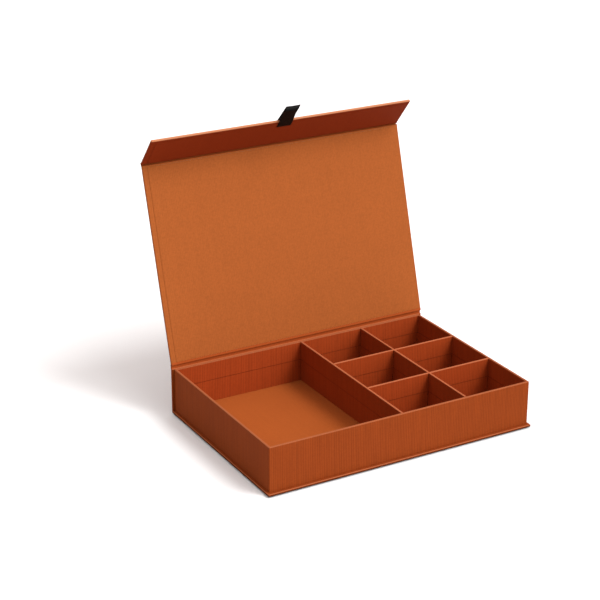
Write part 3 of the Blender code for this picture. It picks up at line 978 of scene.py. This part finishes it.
def build_flap():
    """The flap's papers; returns where they end at the flap hinge, and the flap's free edge."""
    board_near, _, _, _ = reach_of(FLAP, "flap_board")
    _, edge, _, _ = reach_of(FLAP, "flap_cover")
    near = board_near - BOARD_SLACK
    cover = folded_cover(
        "flap_cover_paper", FLAP.matrix(), near - PAST_CUT, edge, near, None, [slit_box(edge)]
    )
    add_lining(cover, FLAP_LINING_SHADED, is_on_inner_face(FLAP))
    # painted highlight along the flap's free edge
    edge_low = edge - FLAP_EDGE_HIGHLIGHT
    mark(cover, 1.0, lambda face: (face.center - FLAP.origin).dot(FLAP.along) > edge_low)
    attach(cover, "flap")
    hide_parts("flap_cover")
    liner = sheet_box("flap_liner_paper", FLAP, "flap_liner", FLAP_LINING_SHADED, [slit_box(edge)])
    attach(liner, "flap")
    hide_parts("flap_liner")
    return near, edge


# Hinge papers, each one strip bent round its hinge


def strip_mesh(name, corners, thickness, x_half, material):
    """A strip whose section follows the rounded path through the corners, full width along x."""
    path = smooth_path(corners)
    offsets = []
    for i in range(len(path)):
        before = path[max(i - 1, 0)]
        after = path[min(i + 1, len(path) - 1)]
        tangent = (after - before).normalized()
        offsets.append(Vector((-tangent.y, tangent.x)) * thickness / 2)
    outline = [p + o for p, o in zip(path, offsets)]
    outline += [p - o for p, o in reversed(list(zip(path, offsets)))]
    bm = bmesh.new()
    rows = []
    for i in range(STRIP_STEPS + 1):
        x = -x_half + 2 * x_half * i / STRIP_STEPS
        rows.append([bm.verts.new((x, p.x, p.y)) for p in outline])
    join_rows(bm, rows)
    last = len(outline) - 1
    for row in (rows[0], rows[-1]):
        for i in range(len(path) - 1):
            bm.faces.new((row[i], row[i + 1], row[last - 1 - i], row[last - i]))
    return link_mesh(name, bm, material)


def turn_points(before, corner, after, radius):
    """Points round a corner of a path, rounded by radius."""
    to_last = (before - corner).normalized()
    to_next = (after - corner).normalized()
    angle = to_last.angle(to_next)
    if radius <= 0 or angle > STRAIGHT:
        return [corner.copy()]
    reach = radius / math.tan(angle / 2)
    start, end = corner + to_last * reach, corner + to_next * reach
    centre = corner + (to_last + to_next).normalized() * radius / math.sin(angle / 2)
    sweep = math.pi - angle
    pieces = max(ARC_PIECES, math.ceil(math.degrees(sweep) / ARC_STEP))
    first, last = start - centre, end - centre
    points = []
    for k in range(pieces + 1):
        t = k / pieces
        mixed = first * math.sin((1 - t) * sweep) + last * math.sin(t * sweep)
        points.append(centre + mixed / math.sin(sweep))
    return points


def smooth_path(corners):
    """Straight runs between (point, radius) corners, each corner rounded, with even points."""
    path = [corners[0][0].copy()]
    for before, (corner, radius), after in zip(corners, corners[1:], corners[2:]):
        path += turn_points(before[0], corner, after[0], radius)
    path.append(corners[-1][0].copy())
    filled = [path[0]]
    for point in path[1:]:
        start = filled[-1].copy()
        gap = (point - start).length
        pieces = max(1, min(PATH_PIECES, math.ceil(gap / PATH_STEP)))
        filled += [start.lerp(point, k / pieces) for k in range(1, pieces + 1)]
    return filled


def build_lid_hinge(near):
    """The papers of the lid's hinge; near is where the lid's own papers start."""
    inner_face = CASE + STRIP / 2
    strip_z = RIM + STRIP / 2
    rear = SPINE_REAR - HINGE_SLACK - HINGE_TURN_IN
    corners = [
        (Vector((TRAY_HIGH.y - WALL_ROUND - HINGE_INSET, strip_z)), 0.0),
        (Vector((rear, strip_z)), SPINE_TURN),
        (LID.side_point(near - HINGE_BULGE, HINGE_SLACK), INNER_TURN),
        (LID.side_point(near - HINGE_BULGE, inner_face), EDGE_TURN),
        (LID.side_point(near + HINGE_LAP, inner_face), 0.0),
    ]
    inside = strip_mesh("lid_hinge_strip", corners, STRIP, CASE_HALF - PAPER, HINGE_LINING)
    # painted highlight on the strip's level part just above the rim
    band_top = RIM + RIM_HIGHLIGHT_BAND
    mark(inside, RIM_HIGHLIGHT_SHARE, lambda face: face.center.z < band_top and face.normal.z > LEVEL)
    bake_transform(inside)
    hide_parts("lid_hinge_liner")

    centre = PAPER / 2
    corners = [
        (Vector((SPINE_REAR - centre, RIM)), 0.0),
        (LID.side_point(0.0, centre), 0.0),
        (LID.side_point(near, centre), 0.0),
    ]
    outside = strip_mesh("lid_hinge_cover", corners, PAPER, CASE_HALF, COVER)
    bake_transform(outside)


def build_flap_hinge(lid_far, flap_near):
    """The papers of the flap's hinge, between where the lid's own papers end and the flap's start."""
    axis = FLAP.origin
    hinge_a = (axis - LID.origin).dot(LID.along)
    middle = PAPER + STRIP
    inner_face = CASE + STRIP / 2
    setback = math.tan(FLAP_FOLD / 2) * middle
    valley = LID.point(0, hinge_a, middle) - LID.along * setback
    corners = [
        (LID.side_point(lid_far - HINGE_LAP, inner_face), 0.0),
        (LID.side_point(lid_far + STRIP / 2, inner_face), EDGE_TURN),
        (LID.side_point(lid_far + STRIP / 2, middle), INNER_TURN),
        (in_section(valley), VALLEY_TURN),
        (FLAP.side_point(flap_near - STRIP / 2, middle), INNER_TURN),
        (FLAP.side_point(flap_near - STRIP / 2, inner_face), EDGE_TURN),
        (FLAP.side_point(flap_near + HINGE_LAP, inner_face), 0.0),
    ]
    # lid side in the lining's painted lit copy, flap side in its painted shaded copy
    inside = strip_mesh("flap_hinge_strip", corners, STRIP, CASE_HALF - PAPER, LID_LINING_LIT)
    add_lining(inside, FLAP_LINING_SHADED, lambda centre: (centre - axis).dot(FLAP.along) > FLAP_LINED)
    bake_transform(inside)
    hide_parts("flap_hinge_liner")

    centre = PAPER / 2
    corners = [
        (LID.side_point(lid_far, centre), 0.0),
        (LID.side_point(hinge_a, centre), OUTER_TURN),
        (FLAP.side_point(flap_near, centre), 0.0),
    ]
    outside = strip_mesh("flap_hinge_cover", corners, PAPER, CASE_HALF, COVER)
    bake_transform(outside)


# Ribbon pull


def ribbon_path(edge):
    """Centreline in the flap's (a, n): in through the slit, round the loop and back."""
    _, loop_far, _, _ = reach_of(FLAP, "pull_loop")
    _, _, ends_out, ends_in = reach_of(FLAP, "ribbon_ends")
    half = RIBBON_THICKNESS / 2
    slit = edge - RIBBON_SLIT_INSET
    inner, outer = ends_in - half, ends_out + half
    clear = slit + RIBBON_TURN
    loop_start = loop_far - half - LOOP_RADIUS
    path = [(slit, CASE / 2)]
    path += quarter((clear, inner - RIBBON_TURN), RIBBON_TURN, 180, RIBBON_TURN_STEPS, -90)
    run = loop_start - clear
    path += [(clear + run * i / INNER_RUN_STEPS, inner) for i in range(1, INNER_RUN_STEPS)]
    path += quarter((loop_start, inner - LOOP_RADIUS), LOOP_RADIUS, 90, LOOP_TURN_STEPS, -180)
    back = inner - 2 * LOOP_RADIUS
    run = loop_start - edge
    for i in range(1, OUTER_RUN_STEPS):
        t = i / OUTER_RUN_STEPS
        path.append((loop_start - run * t, back + (outer - back) * smooth(t)))
    run = edge - clear
    path += [(edge - run * i / FLAP_RUN_STEPS, outer) for i in range(FLAP_RUN_STEPS)]
    path += quarter((clear, outer + RIBBON_TURN), RIBBON_TURN, 270, RIBBON_TURN_STEPS, -90)
    path.append((slit, CASE / 2 - RIBBON_END))
    return path


def ribbon_lean(beyond, past_top):
    """How far the ribbon stands sideways: its inner run bows one way, its outer run leans the other.

    beyond runs from 0 at the flap's edge to 1 at the loop's top, and past_top is in loop turns."""
    back = smooth(min(1.0, max(0.0, 0.5 + past_top)))
    bow = -LOOP_BOW * math.sin(beyond * BOW_WAVE)
    return bow + (LOOP_LEAN * beyond - bow) * back


def ribbon_mesh(edge):
    """The ribbon's middle surface, a little hollow across its width."""
    path = ribbon_path(edge)
    low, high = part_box("pull_loop")
    middle = (low.x + high.x) / 2 - RIBBON_SPARE
    half_width = (high.x - low.x) / 2 + RIBBON_SPARE
    top = max(range(len(path)), key=lambda i: path[i][0])
    far = path[top][0]
    bm = bmesh.new()
    rows = []
    for place, (a, n) in enumerate(path):
        beyond = max(0.0, (a - edge) / (far - edge))
        lean = ribbon_lean(beyond, (place - top) / LOOP_TURN_STEPS)
        row = []
        for i in range(RIBBON_COLUMNS + 1):
            u = -1 + 2 * i / RIBBON_COLUMNS
            cup = RIBBON_CUP * (1 - u * u) * beyond
            row.append(bm.verts.new(FLAP.point(middle + u * half_width + lean, a, n + cup)))
        rows.append(row)
    join_rows(bm, rows, closed=False)
    return bm


def build_ribbon(edge):
    made = link_mesh("ribbon_pull", ribbon_mesh(edge), RIBBON)
    solid = made.modifiers.new("thickness", "SOLIDIFY")
    solid.thickness = RIBBON_THICKNESS
    solid.offset = 0.0
    made.modifiers.move(1, 0)
    thick = evaluated_mesh(made)
    made.modifiers.remove(solid)
    made.data = thick
    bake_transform(made)
    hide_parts("ribbon_ends", "pull_loop")


# CAD nodes, most of them hidden, keep their shape


def node_material(name):
    """The material for a CAD node, by its name."""
    kinds = {"corner_tape": TAPE, "catch_plate": STEEL, "flap_magnet": MAGNET}
    for start, material in kinds.items():
        if name.startswith(start):
            return material
    if name.endswith("_board"):
        return BOARD
    if name in ("pull_loop", "ribbon_ends"):
        return RIBBON
    if name in ("base_cover", "spine_cover", "tray_wrap", "lid_cover", "flap_cover"):
        return COVER
    return LINING


def dress_nodes():
    for name, node in frame["nodes"].items():
        node.data.materials.clear()
        node.data.materials.append(node_material(name))


# Stage, light and camera


def build_floor():
    bm = bmesh.new()
    bmesh.ops.create_grid(bm, x_segments=FLOOR_SQUARES, y_segments=FLOOR_SQUARES, size=FLOOR_HALF)
    mesh = bpy.data.meshes.new("floor")
    bm.to_mesh(mesh)
    bm.free()
    floor = bpy.data.objects.new("floor", mesh)
    bpy.context.scene.collection.objects.link(floor)
    mesh.materials.append(pale_floor("floor"))
    floor.location.z = cad_bounds[0][2] - FLOOR_GAP


def build_world():
    """Soft fill light that grows from the horizon to overhead."""
    world = bpy.data.worlds.new("studio")
    world.use_nodes = True
    tree = world.node_tree
    background = tree.nodes["Background"]
    background.inputs["Color"].default_value = (*FILL_TINT, 1.0)
    direction = tree.nodes.new("ShaderNodeTexCoord")
    parts = tree.nodes.new("ShaderNodeSeparateXYZ")
    tree.links.new(direction.outputs["Generated"], parts.inputs[0])
    climb = tree.nodes.new("ShaderNodeMapRange")
    climb.interpolation_type = "SMOOTHSTEP"
    for socket, number in zip(climb.inputs, (0.0, *FILL_CLIMB, FILL_LOW, FILL_HIGH)):
        socket.default_value = number
    tree.links.new(parts.outputs["Z"], climb.inputs["Value"])
    tree.links.new(climb.outputs[0], background.inputs["Strength"])
    bpy.context.scene.world = world


def soft_light(name, direction, strength, angle):
    light = bpy.data.lights.new(name, "SUN")
    light.energy = strength
    light.angle = angle
    lamp = bpy.data.objects.new(name, light)
    lamp.rotation_euler = Vector(direction).to_track_quat("Z", "Y").to_euler()
    bpy.context.scene.collection.objects.link(lamp)


def build_camera():
    camera = bpy.data.cameras.new("camera")
    camera.lens = CAMERA_LENS
    camera.sensor_width = CAMERA_SENSOR
    camera.clip_end = CAMERA_CLIP
    made = bpy.data.objects.new("camera", camera)
    level = math.cos(CAMERA_DOWN)
    forward_x, forward_y = math.sin(CAMERA_AZIMUTH) * level, math.cos(CAMERA_AZIMUTH) * level
    forward = Vector((forward_x, forward_y, -math.sin(CAMERA_DOWN)))
    right = Vector((math.cos(CAMERA_AZIMUTH), -math.sin(CAMERA_AZIMUTH), 0.0))
    up = right.cross(forward)
    matrix = Matrix.Identity(4)
    matrix.col[0][:3] = right * math.cos(CAMERA_ROLL) + up * math.sin(CAMERA_ROLL)
    matrix.col[1][:3] = up * math.cos(CAMERA_ROLL) - right * math.sin(CAMERA_ROLL)
    matrix.col[2][:3] = -forward
    matrix.col[3][:3] = CAMERA_PLACE
    made.matrix_world = matrix
    bpy.context.scene.collection.objects.link(made)
    bpy.context.scene.camera = made


dress_nodes()
build_base()
build_spine()
build_tray_wrap()
build_liners()
build_dividers()
lid_near, lid_far = build_lid()
flap_near, flap_edge = build_flap()
build_lid_hinge(lid_near)
build_flap_hinge(lid_far, flap_near)
build_ribbon(flap_edge)
build_floor()
build_world()
soft_light("key", KEY_DIRECTION, KEY_STRENGTH, KEY_ANGLE)
soft_light("front", FRONT_DIRECTION, FRONT_STRENGTH, FRONT_ANGLE)
build_camera()
bpy.context.scene.view_settings.view_transform = "Standard"
